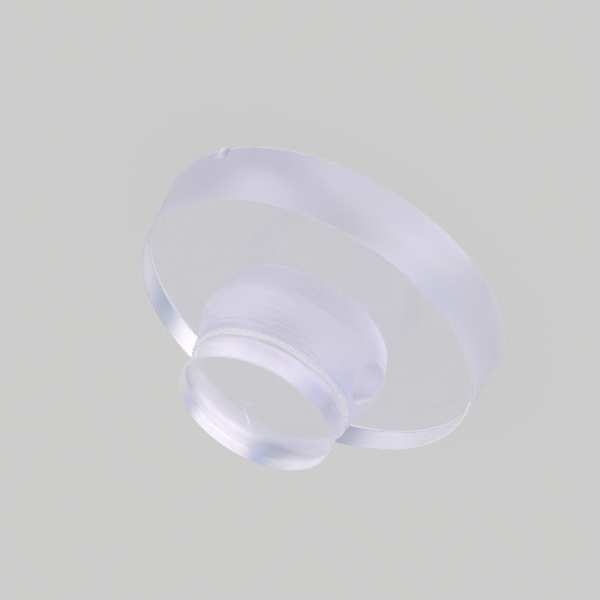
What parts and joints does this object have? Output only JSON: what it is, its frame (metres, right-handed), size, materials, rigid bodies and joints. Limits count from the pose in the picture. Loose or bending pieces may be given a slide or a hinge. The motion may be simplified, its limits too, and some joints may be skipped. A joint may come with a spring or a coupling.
{
  "type": "cabinet door bumper",
  "caption": "Clear soft push-in door bumper: a thick round pad with a short collared stem that plugs into a drilled hole.",
  "frame": {"origin": "centre of the pad's flat striking face", "axes": "+Z along the stem, from the pad towards the stem's end; +X towards the small nub on the stem's side"},
  "size_m": [0.0102, 0.0102, 0.0051],
  "materials": {
    "clear_plastic": "clear soft plastic with a faint violet tint, polished flat faces and finely ridged stem"
  },
  "bodies": {
    "root": {"bumper": "clear_plastic"}
  },
  "joints": []
}
